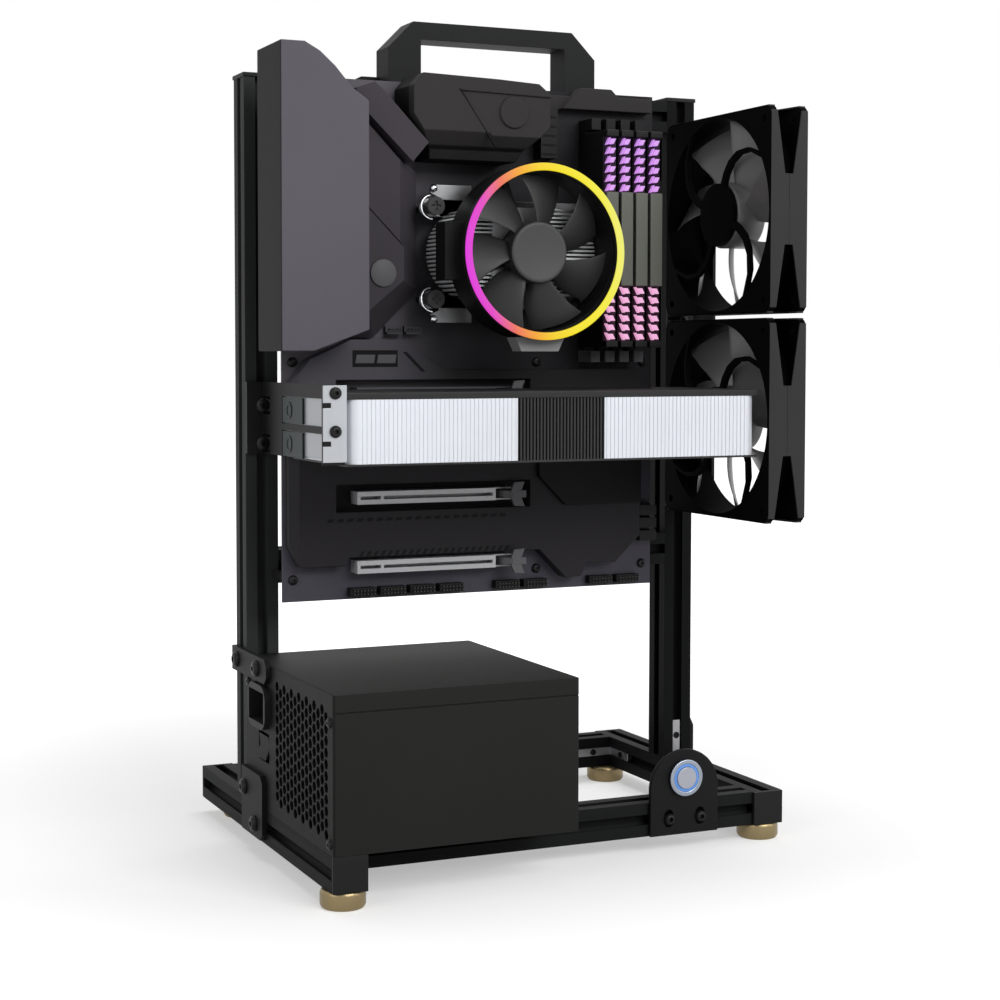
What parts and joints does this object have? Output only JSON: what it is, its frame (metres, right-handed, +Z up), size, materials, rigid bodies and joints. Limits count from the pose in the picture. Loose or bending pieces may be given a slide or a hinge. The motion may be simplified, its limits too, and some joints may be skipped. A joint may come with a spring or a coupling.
{
  "type": "open air test bench",
  "caption": "Upright open frame of slotted aluminium extrusion that carries a computer's board, cooler, graphics card, fans and power supply.",
  "frame": {"origin": "on the floor, below the middle of the bench's outer box", "axes": "+Z up, +X to the right seen from the front, +Y to the back, away from the parts"},
  "size_m": [0.3166, 0.247, 0.4935],
  "materials": {
    "black_anodised": "satin black anodised",
    "black_plastic": "fine matte",
    "black_steel": "black powder coat",
    "grey_cover": "dark grey matte",
    "board": "dark solder mask",
    "silver": "bright fins",
    "bright_steel": "plated",
    "brass": "turned",
    "blade": "dark translucent",
    "ring_light": "lit, magenta to yellow",
    "memory_light": "lit, pink and violet",
    "button_light": "lit blue",
    "pale_cap": "satin"
  },
  "bodies": {
    "bench": {"left_post": "black_anodised", "right_post": "black_anodised", "left_base_rail": "black_anodised", "right_base_rail": "black_anodised", "front_base_rail": "black_anodised", "rear_base_rail": "black_anodised", "upper_cross_rail": "black_anodised", "lower_cross_rail": "black_anodised", "end_caps": "black_plastic", "carry_handle": "black_plastic", "board_sockets": "black_plastic", "cooler_shroud": "black_plastic", "gpu_shroud": "black_plastic", "fan_frame_upper": "black_plastic", "fan_frame_lower": "black_plastic", "psu_inlet": "black_plastic", "joining_plates": "black_steel", "frame_bolts": "black_steel", "gpu_holder": "black_steel", "fan_bracket": "black_steel", "fan_screws": "black_steel", "psu_case": "black_steel", "psu_rear_panel": "black_steel", "button_plate": "black_steel", "io_cover": "grey_cover", "vrm_heatsink_left": "grey_cover", "vrm_heatsink_top": "grey_cover", "expansion_armour": "grey_cover", "chipset_cover": "grey_cover", "memory_modules": "grey_cover", "gpu_backplate": "grey_cover", "motherboard": "board", "gpu_board": "board", "cooler_heatsink": "silver", "gpu_fin_stacks": "silver", "slot_connectors": "bright_steel", "board_standoffs": "bright_steel", "processor": "bright_steel", "cooler_arms": "bright_steel", "cooler_screws": "bright_steel", "gpu_bracket": "bright_steel", "expansion_slot_upper": "bright_steel", "expansion_slot_middle": "bright_steel", "expansion_slot_lower": "bright_steel", "button_bezel": "bright_steel", "levelling_feet": "brass", "cooler_light_ring": "ring_light", "memory_light_bars": "memory_light", "button_ring": "button_light"},
    "cooler_fan": {"cooler_rotor": "blade"},
    "upper_fan": {"fan_rotor_upper": "blade"},
    "lower_fan": {"fan_rotor_lower": "blade"},
    "card_fan_left": {"gpu_rotor_left": "blade"},
    "card_fan_right": {"gpu_rotor_right": "blade"},
    "supply_fan": {"psu_rotor": "blade"},
    "supply_switch": {"psu_switch": "black_plastic"},
    "power_cap": {"button_cap": "pale_cap"},
    "upper_latch": {"slot_latch_upper": "black_plastic"},
    "middle_latch": {"slot_latch_middle": "black_plastic"},
    "lower_latch": {"slot_latch_lower": "black_plastic"}
  },
  "joints": [
    {"name": "cooler_fan_spin", "type": "hinge", "parent": "bench", "child": "cooler_fan", "pos_m": [-0.0002, -0.055, 0.354], "axis": [0, 1, 0], "continuous": true},
    {"name": "upper_fan_spin", "type": "hinge", "parent": "bench", "child": "upper_fan", "pos_m": [0.132, -0.056, 0.379], "axis": [1, 0, 0], "continuous": true},
    {"name": "lower_fan_spin", "type": "hinge", "parent": "bench", "child": "lower_fan", "pos_m": [0.132, -0.056, 0.256], "axis": [1, 0, 0], "continuous": true},
    {"name": "card_fan_left_spin", "type": "hinge", "parent": "bench", "child": "card_fan_left", "pos_m": [-0.08965, -0.0675, 0.24], "axis": [0, 0, 1], "continuous": true},
    {"name": "card_fan_right_spin", "type": "hinge", "parent": "bench", "child": "card_fan_right", "pos_m": [0.06425, -0.0675, 0.24], "axis": [0, 0, 1], "continuous": true},
    {"name": "supply_fan_spin", "type": "hinge", "parent": "bench", "child": "supply_fan", "pos_m": [-0.076, -0.0485, 0.041], "axis": [0, 0, 1], "continuous": true},
    {"name": "supply_switch_rock", "type": "hinge", "parent": "bench", "child": "supply_switch", "pos_m": [-0.1525, -0.006, 0.067], "axis": [0, 1, 0], "range_deg": [-16, 0]},
    {"name": "power_button_press", "type": "slide", "parent": "bench", "child": "power_cap", "axis": [0, 1, 0], "range_m": [0, 0.0015], "stiffness_N_per_m": 800},
    {"name": "upper_latch_swing", "type": "hinge", "parent": "bench", "child": "upper_latch", "pos_m": [-0.0031, -0.0096, 0.2717], "axis": [0, 0, 1], "range_deg": [0, 20], "stiffness_Nm_per_rad": 0.02},
    {"name": "middle_latch_swing", "type": "hinge", "parent": "bench", "child": "middle_latch", "pos_m": [-0.0031, -0.0096, 0.21074], "axis": [0, 0, 1], "range_deg": [0, 20], "stiffness_Nm_per_rad": 0.02},
    {"name": "lower_latch_swing", "type": "hinge", "parent": "bench", "child": "lower_latch", "pos_m": [-0.0031, -0.0096, 0.1701], "axis": [0, 0, 1], "range_deg": [0, 20], "stiffness_Nm_per_rad": 0.02}
  ]
}
